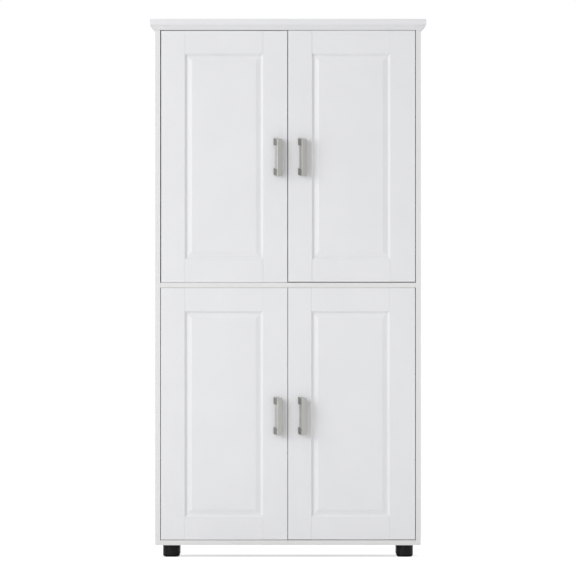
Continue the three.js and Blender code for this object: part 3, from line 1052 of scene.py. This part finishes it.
def back_nails():
    """Nails round both back sheets, with heads that end flush with the cabinet's back."""
    head_y = node_box("back_sheet_lower")[1].y
    side_line = (inner_x + outer_x) / 2
    shank = [(1.0, -2), (1.0, -0.55)]
    head = [(2.5, -0.5), (2.5, -0.25), (1.9, 0)]
    for row in ROWS:
        low, high = node_box(f"back_sheet_{row}")
        bottom, top = low.z + nails.inset, high.z - nails.inset
        places = []
        for i in range(nails.across + 1):
            x = side_line * (2 * i / nails.across - 1)
            places += [(x, bottom), (x, top)]
        for i in range(1, nails.up):
            z = bottom + (top - bottom) * i / nails.up
            places += [(-side_line, z), (side_line, z)]
        bm = bmesh.new()
        for x, z in places:
            add_turned(bm, "Y", (x, head_y, z), shank + head, 16)
        piece(f"back_nails_{row}", bm, steel, "carcass")


def cam_covers():
    """Caps over the cam fittings, on the undersides of the cross boards and rails."""
    places_y = {
        "bottom_panel": (-70, 100),
        "middle_panel": (-70, 100),
        "top_rail_front": (-148.5,),
        "top_rail_back": (172.5,),
    }
    crown = [(cover.radius, 0.2), (cover.radius, -0.3), (cover.radius - 0.6, -0.8), (1.0, -0.9)]
    bm = bmesh.new()
    for node, ys in places_y.items():
        z = node_box(node)[0].z
        for y in ys:
            for side in (-1, 1):
                add_turned(bm, "Z", (side * (inner_x - cover.from_side), y, z), crown, 40)
    piece("cam_covers", bm, nylon, "carcass")


def catches():
    """A double magnetic catch over each pair of doors, and a strike plate on each door."""
    door_back = front_y + door.thickness
    front = door_back + catch.behind_door
    for row in ROWS:
        top = door_ceiling_z[row]
        low = (-catch.half_width, front, top - catch.height)
        bm = bmesh.new()
        add_box(bm, low, (catch.half_width, front + catch.depth, top))
        piece(f"catch_{row}", bm, nylon, "carcass", rounded=1.2)

        reach = Vector((catch.pole_half_width, 0, catch.pole_half_height))
        bm = bmesh.new()
        for x in (-catch.magnet_x, catch.magnet_x):
            for drop in catch.pole_drops:
                near = Vector((x, front - 0.15, top - drop))
                far = Vector((x, front + catch.pole_length, top - drop))
                add_box(bm, near - reach, far + reach)
        piece(f"catch_poles_{row}", bm, steel, "carcass", rounded=0.15)

        for side in SIDES:
            x = -hand(side) * catch.magnet_x
            plate_face = door_back + catch.plate_thickness
            low = (x - catch.plate_half_width, door_back, top - catch.plate_bottom)
            bm = bmesh.new()
            add_box(bm, low, (x + catch.plate_half_width, plate_face, top - catch.plate_top))
            screw_at = (x, plate_face - 0.05, top - catch.screw_drop)
            add_screw(bm, facing((0, 1, 0), screw_at), radius=1.5, height=0.5)
            piece(f"strike_plate_{row}_{side}", bm, steel, f"door_{row}_{side}", rounded=0.1)


# ---------------------------------------------------------------- assembly


def doors():
    """The four doors, each with its handle and its two hinges."""
    for row in ROWS:
        for side in SIDES:
            shape = DoorShape(row, side)
            origin = handle_origin(row, side)
            body = f"door_{row}_{side}"
            door_leaf(row, side, shape, origin)
            handles(row, side, origin)
            for level, end in HINGE_ENDS.items():
                name = f"hinge_{row}_{side}_{level}"
                hinge_cup(shape, end, f"{name}_cup", body)
                hinge_arm(shape, end, f"{name}_arm")


boards()
mouldings()
feet()
doors()
shelf_pins()
back_nails()
cam_covers()
catches()


# ---------------------------------------------------------------- studio, in metres


def studio_floor():
    """A pale floor that glows though it is no lamp: towards white at its rim and, as a painted
    reflection, where seen at a glance.
    """
    bm = bmesh.new()
    bmesh.ops.create_circle(bm, cap_ends=True, segments=96, radius=3000)
    floor = link("studio_floor", to_mesh("studio_floor", bm))
    finish = Finish("studio_floor", 0.9)
    shade = finish.noise(400, detail=2, seed=81)
    colour = finish.mixed(shade, (0.74, 0.74, 0.74), (0.76, 0.76, 0.76))
    finish.link(colour, finish.shader.inputs["Base Color"])
    distance = finish.nodes.new("ShaderNodeVectorMath")
    distance.operation = "LENGTH"
    finish.link(finish.coordinates.outputs["Object"], distance.inputs[0])
    # painted glow: emission rising towards the rim, so the floor fades into the white backdrop
    rim = finish.spread(distance.outputs["Value"], 0.7, 2.8, 0, 0.5)
    glance = finish.nodes.new("ShaderNodeLayerWeight")
    glance.inputs["Blend"].default_value = 0.5
    # painted reflection: emission where the floor is seen at a glance, which whitens the cabinet's
    # shadow on it when seen from low down
    painted_sheen = finish.spread(glance.outputs["Facing"], 0.965, 0.98, 0, 0.6)
    glow = finish.nodes.new("ShaderNodeMath")
    glow.operation = "MAXIMUM"
    finish.link(rim, glow.inputs[0])
    finish.link(painted_sheen, glow.inputs[1])
    finish.shader.inputs["Emission Color"].default_value = (1, 1, 1, 1)
    finish.link(glow.outputs["Value"], finish.shader.inputs["Emission Strength"])
    floor.data.materials.append(finish.material)


def softbox(name, place, target, width, height, watts):
    """A rectangular lamp at place, turned towards target."""
    data = bpy.data.lights.new(name, "AREA")
    data.shape = "RECTANGLE"
    data.size = width
    data.size_y = height
    data.energy = watts
    lamp = bpy.data.objects.new(name, data)
    lamp.location = place
    lamp.rotation_euler = (Vector(target) - Vector(place)).to_track_quat("-Z", "Y").to_euler()
    bpy.context.scene.collection.objects.link(lamp)


def backdrop(seen, above, below):
    """White all round, brighter when seen directly than as the light on the object."""
    world = bpy.data.worlds.new("studio")
    bpy.context.scene.world = world
    world.use_nodes = True
    nodes, links = world.node_tree.nodes, world.node_tree.links
    direction = nodes.new("ShaderNodeTexCoord")
    split = nodes.new("ShaderNodeSeparateXYZ")
    links.new(direction.outputs["Generated"], split.inputs["Vector"])
    strength = nodes.new("ShaderNodeMapRange")
    strength.inputs["From Min"].default_value = -0.15
    strength.inputs["From Max"].default_value = 0.15
    strength.inputs["To Min"].default_value = below
    strength.inputs["To Max"].default_value = above
    links.new(split.outputs["Z"], strength.inputs["Value"])
    glow = nodes["Background"]
    glow.inputs["Color"].default_value = (1, 1, 1, 1)
    links.new(strength.outputs["Result"], glow.inputs["Strength"])
    white = nodes.new("ShaderNodeBackground")
    white.inputs["Color"].default_value = (1, 1, 1, 1)
    white.inputs["Strength"].default_value = seen
    path = nodes.new("ShaderNodeLightPath")
    choice = nodes.new("ShaderNodeMixShader")
    links.new(path.outputs["Is Camera Ray"], choice.inputs["Fac"])
    links.new(glow.outputs["Background"], choice.inputs[1])
    links.new(white.outputs["Background"], choice.inputs[2])
    links.new(choice.outputs["Shader"], nodes["World Output"].inputs["Surface"])


def studio_camera(distance, width, height):
    """Straight in front of the doors and far away, framing width metres at their face."""
    data = bpy.data.cameras.new("camera")
    data.sensor_width = 36
    data.lens = data.sensor_width * distance / width
    data.clip_end = 100
    camera = bpy.data.objects.new("camera", data)
    camera.location = (0, front_y * MM - distance, height)
    camera.rotation_euler = (math.pi / 2, 0, 0)
    bpy.context.scene.collection.objects.link(camera)
    bpy.context.scene.camera = camera


studio_floor()
softbox("key", (-3.8, -4.0, 2.3), target=(0, -0.2, 1.3), width=4.4, height=3.2, watts=129)
softbox("side fill", (4.2, 1.6, 2.0), target=(0, 0, 0.9), width=3.0, height=2.6, watts=36)
backdrop(seen=1.0, above=0.66, below=0.4)
studio_camera(distance=40, width=1.713, height=0.8)
bpy.context.scene.view_settings.view_transform = "Standard"
